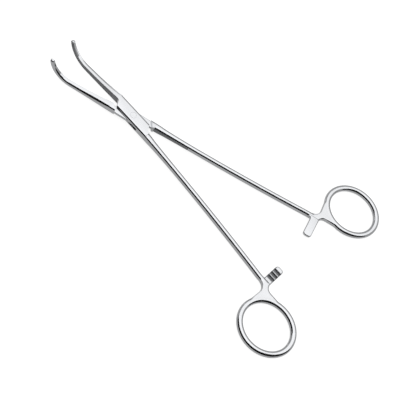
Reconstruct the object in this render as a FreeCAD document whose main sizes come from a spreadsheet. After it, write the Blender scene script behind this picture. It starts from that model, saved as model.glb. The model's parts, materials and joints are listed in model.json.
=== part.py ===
import FreeCAD, Part
import math
import os

from FreeCAD import Placement, Rotation, Vector

# Angled hemostatic forceps with ring handles, a box lock and a ratchet.
# Units are millimetres and degrees.
# Each arm is drawn as it lies when the jaws are shut: the biting plane is x = 0,
# the hinge axis is z through the origin and the jaws point along +Y.
# The finished arms are then turned apart about the hinge by half the opening each.

SIZES = [
    ("opening_angle", 17.7, "angle between the jaws as the forceps lies"),
    ("box_length", 22.4, "box lock, between its two shoulders along the biting plane"),
    ("box_width", 7.2, "box lock, across both arms"),
    ("box_thickness", 4.6, "box lock, outside of plate to outside of plate"),
    ("box_edge_round", 0.55, "rounding of the long edges of the box and the arm roots"),
    ("shoulder_slant", 2.6, "how far a shoulder falls back at the side of the box"),
    ("root_length", 1.3, "full-height root of each jaw and shank past the shoulder"),
    ("slot_height", 1.8, "gap between the two plates of the box"),
    ("window_half", 6.4, "half length of the slot where it opens in the box's sides"),
    ("slot_web", 1.8, "how much longer the slot is at the biting plane than at the sides"),
    ("tongue_clearance", 0.05, "gap above and below the tongue in the slot"),
    ("tongue_inset", 0.1, "how far the tongue's sides lie inside the sides of the box"),
    ("tongue_back", 1.5, "straight back edge of the tongue past the pin"),
    ("tongue_cut", 7.0, "end of the tongue's slanted back edge at the biting plane"),
    ("bite_clearance", 0.05, "gap between each arm and the biting plane"),
    ("shoulder_gap", 0.3, "gap between a box shoulder and the root that faces it"),
    ("pin_radius", 1.7, "hinge pin"),
    ("pin_clearance", 0.03, "running clearance between pin and tongue"),
    ("jaw_straight", 36.3, "hinge axis to the start of the jaw's bend"),
    ("jaw_bend_radius", 12.0, "bend of the jaw's centre line"),
    ("jaw_tip_angle", 80.0, "slope of the jaw at its tip"),
    ("jaw_fall_angle", 3.4, "slope by which the straight jaw falls towards the bend"),
    ("jaw_root_height", 4.4, "biting face at the box"),
    ("jaw_tip_height", 2.3, "biting face at the tip"),
    ("jaw_root_width", 3.7, "thickness of one jaw at the box"),
    ("jaw_bend_width", 2.75, "thickness of one jaw at the start of its bend"),
    ("jaw_tip_width", 1.7, "thickness of one jaw at the tip"),
    ("jaw_back_round", 1.4, "rounding of the jaw's back at the box"),
    ("tip_round", 0.9, "length of the rounded nose of a jaw"),
    ("tooth_pitch", 1.0, "spacing of the cross serrations"),
    ("tooth_depth", 0.35, "depth of the cross serrations"),
    ("tooth_start", 15.2, "hinge axis to the first serration"),
    ("shank_root_width", 3.5, "shank at the box"),
    ("shank_root_height", 4.5, "shank at the box"),
    ("shank_width", 2.9, "slim part of the shank"),
    ("shank_height", 3.7, "slim part of the shank"),
    ("shank_corner", 1.1, "edge rounding of the shank's section"),
    ("shank_start", 12.0, "hinge axis to the start of the shank's spread"),
    ("shank_end", 5.8, "ratchet end of the shank, this far towards the box from the ring's crown"),
    ("shank_root_offset", 1.85, "shank centre line from the biting plane at its start"),
    ("shank_end_offset", 7.3, "shank centre line from the biting plane at its end"),
    ("shank_bow", 0.67, "inward bow of the shank's centre line at mid length"),
    ("ring_drop", 1.97, "ring plane below the middle plane of the box"),
    ("ring_offset", 22.8, "ring centre from the biting plane"),
    ("ring_reach", 123.1, "hinge axis to ring centre along the biting plane"),
    ("ring_length", 28.6, "centre line of the ring's wire, long way"),
    ("ring_breadth", 25.6, "centre line of the ring's wire, short way"),
    ("ring_end_radius", 11.9, "centre line radius at the two ends of the ring"),
    ("ring_turn", 5.6, "lean of the ring's long axis, outwards at the shank"),
    ("ring_wire", 3.3, "thickness of the ring's round wire"),
    ("neck_width", 3.2, "shank where it has passed the ratchet"),
    ("web_thickness", 3.1, "flat web that joins the shank to the ring"),
    ("web_bevel", 0.7, "bevel of the web's edges"),
    ("web_shoulder", 0.2, "web's outer shoulder, towards the box from the ring's crown"),
    ("web_fillet", 4.0, "radius of the web's outer corner against the shank"),
    ("web_start", 0.7, "web's inner corner at the ratchet, past the ring's crown"),
    ("web_hollow", 3.5, "radius of the web's inner corner below the ratchet"),
    ("ratchet_reach", 4.9, "tip of a ratchet bar past the biting plane"),
    ("ratchet_place", 1.55, "middle of the ratchet bars, towards the box from the ring's crown"),
    ("ratchet_breadth", 4.55, "ratchet bar along the shank"),
    ("ratchet_corner", 1.5, "rounding of the bar's end"),
    ("ratchet_thickness", 1.75, "ratchet bar, tooth crest to back"),
    ("ratchet_gap", 0.1, "gap between the crests of the two ratchets"),
    ("ratchet_pitch", 2.4, "spacing of the ratchet teeth"),
    ("ratchet_depth", 0.7, "depth of the ratchet teeth"),
    ("ratchet_count", 3, "teeth on each ratchet"),
    ("ratchet_pad", 2.1, "plain pad between the last tooth and the tip"),
]

# Sections of a jaw's bend and of each of the ring's four arcs.
BEND_STEPS = 7
RING_STEPS = 8

# How far one piece of an arm starts inside the piece that it grows from.
LAP = 0.1

# Where the web's two ends lie on the ring, as angles from its long axis at the shank,
# and how much of the wire's half thickness its edges cover there.
CROWN_ANGLE = 20
FLANK_ANGLE = 77
WEB_COVER = 0.8

# Sections of a jaw's nose: share of its length and share of the full section.
NOSE_SECTIONS = [(0.6, 0.84), (1, 0.45)]

# Shares of the straight jaw and of the shank over which they slim from the box.
JAW_SLIMMING = 0.33
SHANK_SLIMMING = 0.3

# Shares of the pitch that a groove of a jaw and a ramp of a ratchet take.
GROOVE_SHARE = 0.9
RAMP_SHARE = 0.88

# Largest rounding, as a share of the wall that it rounds.
ROUND_LIMIT = 0.47

doc = FreeCAD.newDocument("angled_forceps")


def make_sheet():
    """Write the driving dimensions to a spreadsheet, one alias for each."""
    sheet = doc.addObject("Spreadsheet::Sheet", "sizes")
    for row, (name, value, note) in enumerate(SIZES, start=1):
        sheet.set("A%d" % row, name)
        sheet.set("B%d" % row, str(value))
        sheet.set("C%d" % row, note)
        sheet.setAlias("B%d" % row, name)
    doc.recompute()
    return sheet


sizes = make_sheet()


def size(name):
    """One driving dimension, read from the sheet."""
    return float(sizes.get(name))


def bind(item, **expressions):
    """Tie properties of an object to cells of the sheet."""
    for name, expression in expressions.items():
        item.setExpression(name, expression)


def add(kind, name, **properties):
    """A document object with plain properties set."""
    item = doc.addObject(kind, name)
    for key, value in properties.items():
        setattr(item, key, value)
    return item


def add_shape(name, shape):
    """A shape that no feature of its own makes, kept in the document."""
    item = doc.addObject("Part::Feature", name)
    item.Shape = shape
    return item


def limited(radius, *walls):
    """A rounding, kept under half of each wall that it rounds."""
    return min([radius] + [ROUND_LIMIT * wall for wall in walls])


# Plates cut to an outline in the plane of the forceps

def plate_body(name, outline, height):
    """A plate centred on z = 0, padded from a sketched outline."""
    body = doc.addObject("PartDesign::Body", name)
    plane = [part for part in body.Origin.OriginFeatures if part.Role == "XY_Plane"][0]
    sketch = body.newObject("Sketcher::SketchObject", name + "_outline")
    sketch.AttachmentSupport = [(plane, "")]
    sketch.MapMode = "FlatFace"
    corners = [Vector(x, y, 0) for x, y in outline]
    for start, end in zip(corners, corners[1:] + corners[:1]):
        sketch.addGeometry(Part.LineSegment(start, end), False)
    pad = body.newObject("PartDesign::Pad", name + "_pad")
    pad.Profile = sketch
    pad.Midplane = True
    bind(pad, Length=height)
    return body


def round_long_edges(body, name):
    """Round the top and bottom edges along the two outer sides of a plate."""
    doc.recompute()
    pad = body.Tip
    side = size("box_width") / 2
    chosen = []
    for number, edge in enumerate(pad.Shape.Edges, start=1):
        ends = [vertex.Point for vertex in edge.Vertexes]
        level = abs(ends[0].z - ends[1].z) < 0.001
        outer = all(abs(abs(point.x) - side) < 0.001 for point in ends)
        if level and outer:
            chosen.append("Edge%d" % number)
    fillet = body.newObject("PartDesign::Fillet", name + "_rounded")
    fillet.Base = (pad, chosen)
    bind(fillet, Radius="sizes.box_edge_round")


# Centre lines

def jaw_station(length):
    """Point and slope of the jaw's centre line at a length from the hinge axis."""
    fall = math.radians(size("jaw_fall_angle"))
    straight = size("jaw_straight")
    radius = size("jaw_bend_radius")
    run = min(length, straight)
    y = run * math.cos(fall)
    z = -run * math.sin(fall)
    slope = -fall
    if length > straight:
        slope = (length - straight) / radius - fall
        y += radius * (math.sin(slope) + math.sin(fall))
        z += radius * (math.cos(fall) - math.cos(slope))
    return Vector(0, y, z), slope


def jaw_length():
    """Length of the jaw's centre line from the hinge axis to the tip."""
    turn = math.radians(size("jaw_tip_angle") + size("jaw_fall_angle"))
    return size("jaw_straight") + size("jaw_bend_radius") * turn


def crown_reach():
    """Hinge axis to the crown of the ring's centre line, which its neighbours are set from."""
    return size("ring_reach") - size("ring_length") / 2


def shank_reach():
    """Hinge axis to the ratchet end of the shank."""
    return crown_reach() - size("shank_end")


def ratchet_reach():
    """Hinge axis to the middle of the ratchet bars."""
    return crown_reach() - size("ratchet_place")


def shank_point(reach):
    """Centre of the shank at a distance from the hinge axis, jaw side +X."""
    start = size("shank_start")
    share = (reach - start) / (shank_reach() - start)
    root = size("shank_root_offset")
    spread = (size("shank_end_offset") - root) * share
    bow = 4 * size("shank_bow") * share * (1 - share)
    return Vector(-(root + spread - bow), -reach, drop_at(reach))


def drop_at(reach):
    """Height of the shank's middle: it falls evenly from the box to its ratchet end."""
    start = size("shank_start")
    share = (reach - start) / (shank_reach() - start)
    return -size("ring_drop") * min(max(share, 0), 1)


# Sections

def jaw_section(station, height, width, corner, side):
    """A jaw's section: flat biting face, flat top and foot, rounded back."""
    centre, slope = jaw_station(station)
    up = Vector(0, -math.sin(slope), math.cos(slope))
    out = Vector(side, 0, 0)
    near = size("bite_clearance")
    radius = limited(corner, height, 2 * (width - near))
    half = height / 2
    edges = []
    corners = []
    for sign in (1, -1):
        pivot = centre + out * (width - radius) + up * (sign * (half - radius))
        flat_end = pivot + up * (sign * radius)
        middle = pivot + (out + up * sign) * (radius * math.sqrt(0.5))
        back = pivot + out * radius
        corners.append((flat_end, middle, back))
    (top, top_mid, top_back), (low, low_mid, low_back) = corners
    face_top = centre + out * near + up * half
    face_low = centre + out * near - up * half
    edges.append(Part.LineSegment(face_low, face_top).toShape())
    edges.append(Part.LineSegment(face_top, top).toShape())
    edges.append(Part.Arc(top, top_mid, top_back).toShape())
    edges.append(Part.LineSegment(top_back, low_back).toShape())
    edges.append(Part.Arc(low_back, low_mid, low).toShape())
    edges.append(Part.LineSegment(low, face_low).toShape())
    return Part.Wire(edges)


def rounded_bar(centre, width, height, corner):
    """A shank's section: a rectangle with rounded corners, in a plane y = constant."""
    radius = limited(corner, width, height)
    flat_x = width / 2 - radius
    flat_z = height / 2 - radius
    middles = [(1, 1), (-1, 1), (-1, -1), (1, -1)]
    edges = []
    for number, (across, up) in enumerate(middles):
        pivot = centre + Vector(across * flat_x, 0, up * flat_z)
        first = math.radians(90 * number)
        points = []
        for part in (0, 0.5, 1):
            angle = first + part * math.pi / 2
            points.append(pivot + Vector(math.cos(angle), 0, math.sin(angle)) * radius)
        edges.append(Part.Arc(*points).toShape())
    wire_edges = []
    for edge, following in zip(edges, edges[1:] + edges[:1]):
        wire_edges.append(edge)
        gap_start = edge.Vertexes[-1].Point
        gap_end = following.Vertexes[0].Point
        wire_edges.append(Part.LineSegment(gap_start, gap_end).toShape())
    return Part.Wire(wire_edges)


def mirrored(point, side):
    """A point of the +X arm, carried to the arm on this side."""
    return Vector(side * point.x, point.y, point.z)


def between(start, end, share):
    """A value part of the way from start to end."""
    return start + (end - start) * share


# Parts of an arm

def jaw_width(station):
    """Thickness of the jaw at a length along its centre line."""
    straight = size("jaw_straight")
    if station < straight:
        return between(size("jaw_root_width"), size("jaw_bend_width"), station / straight)
    share = (station - straight) / (jaw_length() - straight)
    return between(size("jaw_bend_width"), size("jaw_tip_width"), share)


def jaw(name, side):
    """The jaw: flat inside, round outside, growing from the box's end, bent up at the tip."""
    length = jaw_length()
    straight = size("jaw_straight")
    root = size("box_length") / 2 + size("root_length") / 2
    nose = length - size("tip_round")
    stops = [(between(root, straight, JAW_SLIMMING), 1)]
    stops += [(between(straight, nose, step / BEND_STEPS), 1) for step in range(BEND_STEPS + 1)]
    stops += [(between(nose, length, share), scale) for share, scale in NOSE_SECTIONS]
    root_width = size("box_width") / 2 - LAP
    root_height = size("box_thickness") - LAP
    wire = jaw_section(root, root_height, root_width, size("box_edge_round"), side)
    wire.translate(Vector(0, 0, -jaw_station(root)[0].z))
    sections = [add_shape("%s_section_root" % name, wire)]
    for number, (stop, scale) in enumerate(stops):
        height = between(size("jaw_root_height"), size("jaw_tip_height"), stop / length)
        corner = size("jaw_back_round") * height / size("jaw_root_height")
        wire = jaw_section(stop, height * scale, jaw_width(stop) * scale, corner * scale, side)
        sections.append(add_shape("%s_section_%d" % (name, number), wire))
    return add("Part::Loft", name, Sections=sections, Solid=True, Ruled=True)


def serrations(name, side, phase):
    """V grooves across the biting face, following the bend of the jaw."""
    pitch = size("tooth_pitch")
    depth = size("tooth_depth")
    crest = size("bite_clearance") - depth / 2
    count = int((jaw_length() - size("tip_round") - size("tooth_start")) / pitch)
    half = GROOVE_SHARE * pitch
    reach = size("jaw_root_height")
    grooves = []
    for number in range(count):
        centre, slope = jaw_station(size("tooth_start") + (number + phase) * pitch)
        along = Vector(0, math.cos(slope), math.sin(slope))
        up = Vector(0, -math.sin(slope), math.cos(slope))
        mouth = centre + Vector(side * (crest - depth), 0, 0) - up * reach
        floor = centre + Vector(side * (crest + depth), 0, 0) - up * reach
        corners = [mouth - along * half, mouth + along * half, floor]
        face = Part.Face(Part.makePolygon(corners + corners[:1]))
        grooves.append(face.extrude(up * 2 * reach))
    return add_shape(name, Part.makeCompound(grooves))


def shank_layout():
    """Reach, offset, width and height of each section of the shank, box to ratchet."""
    start = size("box_length") / 2 + size("root_length") / 2
    end = shank_reach()
    slim = between(start, end, SHANK_SLIMMING)
    stops = [start, (start + slim) / 2, slim]
    stops += [between(slim, end, step / 3) for step in (1, 2, 3)]
    layout = []
    for stop in stops:
        share = min((stop - start) / (slim - start), 1)
        ease = share * (2 - share)
        width = between(size("shank_root_width"), size("shank_width"), ease)
        height = between(size("shank_root_height"), size("shank_height"), ease)
        layout.append((stop, -shank_point(stop).x, width, height))
    return layout


def shank(name, side):
    """The shank: a rounded bar that slims from the box, bows out and ends in the web."""
    layout = shank_layout()
    end = crown_reach() + size("web_start") - size("web_bevel")
    middle = size("shank_end_offset") + LAP
    layout.append((end, middle, size("neck_width"), size("web_thickness") - 2 * LAP))
    sections = []
    for number, (reach, offset, width, height) in enumerate(layout):
        centre = mirrored(Vector(-offset, -reach, drop_at(reach)), side)
        wire = rounded_bar(centre, width, height, size("shank_corner"))
        sections.append(add_shape("%s_section_%d" % (name, number), wire))
    return add("Part::Loft", name, Sections=sections, Solid=True, Ruled=True)


def ring_point(angle):
    """A point near the ring's centre line, by angle from its long axis at the shank."""
    long_half = size("ring_length") / 2
    short_half = size("ring_breadth") / 2
    turn = math.radians(size("ring_turn"))
    u = long_half * math.cos(math.radians(angle))
    v = short_half * math.sin(math.radians(angle))
    x = -size("ring_offset") - u * math.sin(turn) + v * math.cos(turn)
    y = -size("ring_reach") + u * math.cos(turn) + v * math.sin(turn)
    return Vector(x, y, 0)


def quarter(centre, radius, across, along):
    """Middle point of a quarter circle that lies towards the given signs."""
    return centre + Vector(across, along, 0) * (radius * math.sqrt(0.5))


def web(name, side):
    """The web: a waisted plate that leads the shank into the ring, hollow at both corners."""
    body = doc.addObject("PartDesign::Body", name)
    plane = [part for part in body.Origin.OriginFeatures if part.Role == "XY_Plane"][0]
    sketch = body.newObject("Sketcher::SketchObject", name + "_outline")
    sketch.AttachmentSupport = [(plane, "")]
    sketch.MapMode = "FlatFace"
    sketch.setExpression(".AttachmentOffset.Base.z", "-sizes.ring_drop")
    cover = WEB_COVER * size("ring_wire") / 2
    root = Vector(-size("shank_end_offset"), -shank_reach(), 0)
    outer = root.x - size("shank_width") / 2 - LAP
    shoulder = size("web_shoulder") - crown_reach()
    fillet = size("web_fillet")
    pivot = Vector(outer - fillet, shoulder + fillet, 0)
    leave = pivot + Vector(fillet, 0, 0)
    bend = quarter(pivot, fillet, 1, -1)
    level = pivot - Vector(0, fillet, 0)
    crown = ring_point(CROWN_ANGLE)
    crown_edge = crown + Vector(0, cover, 0)
    flank = ring_point(FLANK_ANGLE)
    flank_edge = flank + Vector(cover, 0, 0)
    hollow = size("web_hollow")
    inner = root.x + size("shank_width") / 2 + LAP
    corner = Vector(inner, -crown_reach() - size("web_start"), 0)
    hub = corner - Vector(0, hollow, 0)
    turn = quarter(hub, hollow, -1, 1)
    waist = hub - Vector(hollow, 0, 0)
    crest = ring_point((CROWN_ANGLE + FLANK_ANGLE) / 2)
    for curve, points in (
        (Part.LineSegment, (root, leave)),
        (Part.Arc, (leave, bend, level)),
        (Part.LineSegment, (level, crown_edge)),
        (Part.LineSegment, (crown_edge, crown)),
        (Part.Arc, (crown, crest, flank)),
        (Part.LineSegment, (flank, flank_edge)),
        (Part.LineSegment, (flank_edge, waist)),
        (Part.Arc, (waist, turn, corner)),
        (Part.LineSegment, (corner, root)),
    ):
        sketch.addGeometry(curve(*[mirrored(point, side) for point in points]), False)
    pad = body.newObject("PartDesign::Pad", name + "_pad")
    pad.Profile = sketch
    pad.Midplane = True
    bind(pad, Length="sizes.web_thickness")
    doc.recompute()
    free = [leave, level, crown_edge, flank_edge, waist, corner]
    free = [mirrored(point, side) for point in free]
    chosen = []
    for number, edge in enumerate(pad.Shape.Edges, start=1):
        ends = [edge.valueAt(edge.FirstParameter), edge.valueAt(edge.LastParameter)]
        flat = [Vector(point.x, point.y, 0) for point in ends]
        outside = all(min(point.distanceToPoint(end) for end in free) < 0.001 for point in flat)
        if outside and abs(ends[0].z - ends[1].z) < 0.001:
            chosen.append("Edge%d" % number)
    eased = body.newObject("PartDesign::Chamfer", name + "_eased")
    eased.Base = (pad, chosen)
    bind(eased, Size="sizes.web_bevel")
    return body


def oval_stations(long_half, short_half, end_radius):
    """Points and headings along an oval of four tangent arcs, long way along X."""
    across = long_half - end_radius
    room = long_half ** 2 + short_half ** 2 - 2 * long_half * end_radius
    side_radius = room / (2 * (short_half - end_radius))
    depth = side_radius - short_half
    meet = math.degrees(math.atan2(depth, across))
    arcs = [
        (Vector(across, 0, 0), end_radius, -meet, 2 * meet),
        (Vector(0, -depth, 0), side_radius, meet, 180 - 2 * meet),
        (Vector(-across, 0, 0), end_radius, 180 - meet, 2 * meet),
        (Vector(0, depth, 0), side_radius, 180 + meet, 180 - 2 * meet),
    ]
    stations = []
    for centre, radius, first, sweep in arcs:
        for step in range(RING_STEPS):
            angle = first + sweep * step / RING_STEPS
            heading = math.radians(angle)
            out = Vector(math.cos(heading), math.sin(heading), 0)
            stations.append((centre + out * radius, angle))
    return stations


def ring(name, side):
    """The finger ring: a round wire run along an oval, closed on itself."""
    stations = oval_stations(
        size("ring_length") / 2, size("ring_breadth") / 2, size("ring_end_radius"))
    centre = mirrored(Vector(-size("ring_offset"), -size("ring_reach"), -size("ring_drop")), side)
    place = Placement(centre, Rotation(Vector(0, 0, 1), 90 + side * size("ring_turn")))
    sections = []
    for number, (point, angle) in enumerate(stations):
        section = add("Part::Circle", "%s_section_%d" % (name, number))
        bind(section, Radius="sizes.ring_wire / 2")
        upright = Rotation(Vector(0, 0, 1), angle).multiply(Rotation(Vector(1, 0, 0), 90))
        section.Placement = place.multiply(Placement(point, upright))
        sections.append(section)
    return add("Part::Loft", name, Sections=sections, Solid=True, Ruled=True, Closed=True)


def ratchet(name, side, lower):
    """A ratchet bar across to the other arm, with saw teeth towards its mate."""
    place = ratchet_reach()
    breadth = size("ratchet_breadth")
    middle = drop_at(place)
    away = -1 if lower else 1
    crest = middle + away * size("ratchet_gap") / 2
    back = crest + away * size("ratchet_thickness")
    root = shank_point(place).x
    tip = size("ratchet_reach")
    radius = limited(size("ratchet_corner"), breadth)
    low = -place - breadth / 2
    high = -place + breadth / 2
    low_pivot = Vector(tip - radius, low + radius, 0)
    high_pivot = Vector(tip - radius, high - radius, 0)
    edges = []
    for curve, points in (
        (Part.LineSegment, (Vector(root, low, 0), Vector(tip - radius, low, 0))),
        (Part.Arc, (Vector(tip - radius, low, 0), quarter(low_pivot, radius, 1, -1),
                    Vector(tip, low + radius, 0))),
        (Part.LineSegment, (Vector(tip, low + radius, 0), Vector(tip, high - radius, 0))),
        (Part.Arc, (Vector(tip, high - radius, 0), quarter(high_pivot, radius, 1, 1),
                    Vector(tip - radius, high, 0))),
        (Part.LineSegment, (Vector(tip - radius, high, 0), Vector(root, high, 0))),
        (Part.LineSegment, (Vector(root, high, 0), Vector(root, low, 0))),
    ):
        level = Vector(0, 0, min(crest, back))
        edges.append(curve(*[mirrored(point, side) + level for point in points]).toShape())
    outline = Part.Wire(edges)
    bar = Part.Face(outline).extrude(Vector(0, 0, size("ratchet_thickness")))
    return add_shape(name, bar)


def ratchet_teeth(name, side, lower):
    """Saw-tooth notches in the ratchet bar: one steep flank and one long ramp each."""
    place = ratchet_reach()
    breadth = size("ratchet_breadth")
    middle = drop_at(place)
    away = -1 if lower else 1
    crest = middle + away * size("ratchet_gap") / 2
    floor = crest + away * size("ratchet_depth")
    above = crest - away * size("ratchet_depth")
    last = size("ratchet_reach") - size("ratchet_pad")
    notches = []
    for number in range(int(size("ratchet_count"))):
        steep = last - number * size("ratchet_pitch")
        ramp = steep - RAMP_SHARE * size("ratchet_pitch")
        points = [(steep, above), (steep, floor), (ramp, crest), (ramp, above)]
        corners = [mirrored(Vector(x, -place - breadth, z), side) for x, z in points]
        face = Part.Face(Part.makePolygon(corners + corners[:1]))
        notches.append(face.extrude(Vector(0, 2 * breadth, 0)))
    return add_shape(name, Part.makeCompound(notches))


def pin_hole(name, radius):
    """A hole on the hinge axis, through the whole thickness."""
    hole = add("Part::Cylinder", name)
    bind(hole, Radius=radius, Height="sizes.box_thickness * 2")
    hole.setExpression(".Placement.Base.z", "-sizes.box_thickness")
    return hole


# The two arms

def box_blank():
    """The box lock's outside, with slanted shoulders and the roots of jaw and shank."""
    half = size("box_width") / 2
    end = size("box_length") / 2
    slant = size("shoulder_slant")
    root = end + size("root_length")
    gap = size("bite_clearance")
    outline = [
        (gap, end),
        (-half, end - slant),
        (-half, -root),
        (-gap, -root),
        (-gap, -end),
        (half, -end + slant),
        (half, root),
        (gap, root),
    ]
    body = plate_body("box_blank", outline, "sizes.box_thickness")
    round_long_edges(body, "box_blank")
    return body


def box_slot():
    """The slot between the plates, open at both shoulders and both sides."""
    over = 2 * size("box_width")
    window = size("window_half")
    web = window + size("slot_web")
    gap = size("bite_clearance")
    end = size("box_length")
    outline = [
        (gap, end),
        (-over, end),
        (-over, -window),
        (-size("box_width") / 2, -window),
        (-gap, -web),
        (-gap, -end),
        (over, -end),
        (over, window),
        (size("box_width") / 2, window),
        (gap, web),
    ]
    return plate_body("box_slot", outline, "sizes.slot_height")


def root_block(name, end_sign):
    """Full-height root of the tongue arm's jaw or shank, behind its shoulder."""
    half = size("box_width") / 2
    near = size("box_length") / 2 + size("shoulder_gap")
    far = size("box_length") / 2 + size("root_length")
    gap = size("bite_clearance")
    slant = size("shoulder_slant")
    outline = [
        (-end_sign * gap, end_sign * near),
        (-end_sign * gap, end_sign * far),
        (-end_sign * half, end_sign * far),
        (-end_sign * half, end_sign * (near - slant)),
    ]
    body = plate_body(name, outline, "sizes.box_thickness")
    round_long_edges(body, name)
    return body


def tongue():
    """The thin plate that passes through the box, wider round the pin."""
    half = size("box_width") / 2 - size("tongue_inset")
    gap = 2 * size("bite_clearance")
    back = size("tongue_back")
    cut = size("tongue_cut")
    shoulder = size("box_length") / 2 - size("shoulder_slant")
    end = size("box_length") / 2 + size("root_length") / 2
    outline = [
        (-gap, end),
        (-half, end),
        (-half, shoulder),
        (-half, -back),
        (gap, -cut),
        (gap, -end),
        (half, -end),
        (half, -shoulder),
        (half, back),
        (-gap, cut),
    ]
    return plate_body("tongue", outline, "sizes.slot_height - 2 * sizes.tongue_clearance")


def turned(item, sign):
    """Turn a finished arm away from the biting plane and stand the box on z = 0."""
    item.setExpression(".Placement.Rotation.Angle", "%d * sizes.opening_angle / 2" % sign)
    item.setExpression(".Placement.Base.z", "sizes.box_thickness / 2")
    return item


def make_box_arm():
    """The arm with the box: jaw on +X, shank and ring on -X, teeth facing up."""
    pieces = [
        box_blank(),
        jaw("box_jaw", 1),
        shank("box_shank", 1),
        web("box_web", 1),
        ring("box_ring", 1),
        ratchet("box_ratchet", 1, True),
    ]
    cuts = [
        box_slot(),
        pin_hole("box_pin_hole", "sizes.pin_radius"),
        serrations("box_serrations", 1, 0),
        ratchet_teeth("box_ratchet_teeth", 1, True),
    ]
    solid = add("Part::MultiFuse", "box_solid", Shapes=pieces)
    waste = add("Part::Compound", "box_waste", Links=cuts)
    arm = add("Part::Cut", "box_arm", Base=solid, Tool=waste)
    return turned(arm, -1)


def make_tongue_arm():
    """The arm with the tongue: jaw on -X, shank and ring on +X, teeth facing down."""
    pieces = [
        tongue(),
        root_block("jaw_root", 1),
        root_block("shank_root", -1),
        jaw("tongue_jaw", -1),
        shank("tongue_shank", -1),
        web("tongue_web", -1),
        ring("tongue_ring", -1),
        ratchet("tongue_ratchet", -1, False),
    ]
    cuts = [
        pin_hole("tongue_pin_hole", "sizes.pin_radius + sizes.pin_clearance"),
        serrations("tongue_serrations", -1, 0.5),
        ratchet_teeth("tongue_ratchet_teeth", -1, False),
    ]
    solid = add("Part::MultiFuse", "tongue_solid", Shapes=pieces)
    waste = add("Part::Compound", "tongue_waste", Links=cuts)
    arm = add("Part::Cut", "tongue_arm", Base=solid, Tool=waste)
    return turned(arm, 1)


def make_pin():
    """The hinge pin, flush with both plates of the box."""
    pin = add("Part::Cylinder", "joint_pin")
    bind(pin, Radius="sizes.pin_radius", Height="sizes.box_thickness")
    return pin


def check(parts):
    """Stop if any object failed or any sub-part is not one sound solid."""
    failed = [item.Label for item in doc.Objects if set(item.State) & {"Invalid", "Error"}]
    if failed:
        raise RuntimeError("failed objects: %s" % failed)
    for part in parts:
        shape = part.Shape
        if shape.isNull() or not shape.isValid():
            raise RuntimeError("bad shape: %s" % part.Label)
        if len(shape.Solids) != 1:
            raise RuntimeError("%s is %d solids" % (part.Label, len(shape.Solids)))
        print(part.Label, round(shape.Volume, 1), "mm3", shape.BoundBox)


def main():
    parts = [make_box_arm(), make_tongue_arm(), make_pin()]
    doc.recompute()
    check(parts)
    os.makedirs("parts", exist_ok=True)
    for part in parts:
        part.Shape.exportStep("parts/%s.step" % part.Label)


main()
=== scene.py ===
import json
import math

import bmesh
import bpy
import numpy as np
from mathutils import Matrix, Vector


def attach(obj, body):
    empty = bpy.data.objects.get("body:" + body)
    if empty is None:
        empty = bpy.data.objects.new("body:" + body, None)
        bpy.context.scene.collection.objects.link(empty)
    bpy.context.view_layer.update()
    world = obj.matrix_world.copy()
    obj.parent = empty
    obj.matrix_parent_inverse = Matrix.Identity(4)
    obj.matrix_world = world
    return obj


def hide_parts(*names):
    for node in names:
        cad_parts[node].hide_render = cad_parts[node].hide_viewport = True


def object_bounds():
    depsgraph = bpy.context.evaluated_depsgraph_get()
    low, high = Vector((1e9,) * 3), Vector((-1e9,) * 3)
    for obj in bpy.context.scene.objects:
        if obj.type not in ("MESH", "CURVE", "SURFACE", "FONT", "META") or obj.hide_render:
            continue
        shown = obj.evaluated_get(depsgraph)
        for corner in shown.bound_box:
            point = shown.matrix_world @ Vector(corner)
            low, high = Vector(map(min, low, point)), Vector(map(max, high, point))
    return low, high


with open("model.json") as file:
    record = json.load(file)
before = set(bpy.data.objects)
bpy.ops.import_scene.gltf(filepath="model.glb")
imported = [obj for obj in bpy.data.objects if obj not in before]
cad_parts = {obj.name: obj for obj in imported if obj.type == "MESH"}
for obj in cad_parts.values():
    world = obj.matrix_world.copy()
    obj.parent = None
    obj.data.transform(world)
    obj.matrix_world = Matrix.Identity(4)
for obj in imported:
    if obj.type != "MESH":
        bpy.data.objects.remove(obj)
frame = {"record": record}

bl_info = {
    "name": "Angled Hemostatic Forceps",
    "version": (1, 0, 0),
    "blender": (4, 5, 0),
    "location": "3D View > Sidebar > Forceps",
    "description": "Builds the polished looks of angled forceps round their packed frame",
    "category": "Add Mesh",
}

MM = 0.001
CAD_BOX = [list(corner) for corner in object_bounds()]
HINGE_HEIGHT = frame["record"]["behaviour"]["joints"][0]["pos_m"][2]

# The side of the biting plane that each arm's jaw lies on, and its node and body in the frame.
ARMS = {
    "box": {"side": 1, "node": "box_arm", "body": "box_side"},
    "tongue": {"side": -1, "node": "tongue_arm", "body": "tongue_side"},
}

# How far a surface lies inside the one that it continues or fills, so that no faces coincide.
SINK = 0.01 * MM

# Largest rounding, as a share of the wall that it rounds.
ROUND_LIMIT = 0.49

# Rims of the plates and of the drill that only cut other pieces.
CUTTER_EDGE = 0.02 * MM
DRILL_BEVEL = 0.1 * MM

# Running clearance between the pin and the tongue, and points round the pin.
PIN_CLEARANCE = 0.03 * MM
PIN_STEPS = 72

# Sections of a jaw: along one serration, round its nose, and points on each rounded corner.
TOOTH_STEPS = 10
NOSE_STEPS = 12
CORNER_STEPS = 9

# A jaw's nose: how much of a half turn its last section reaches, the least that stays under
# the root of its half circle, and the shares of height and width that are left at its end.
NOSE_TURN = 0.49
NOSE_LEAST = 0.0001
NOSE_HEIGHT = 0.25
NOSE_WIDTH = 0.35

# Largest rounding of the biting face's edge and of the jaw's back, as shares of the jaw's width.
FACE_EDGE_LIMIT = 0.2
BACK_LIMIT = 0.85

# Shank: spacing of its sections, start inside the root, stretch over which it leaves the
# box's section, share of its length over which it slims, and how much thinner than the web
# its end is.
SHANK_STEP = 0.8 * MM
SHANK_LAP = 0.4 * MM
SHANK_SETTLE = 6 * MM
SHANK_SLIMMING = 0.3
SHANK_BURIED = 0.2 * MM

# Degrees between two sections of the ring.
RING_STEP = 2.0

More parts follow.
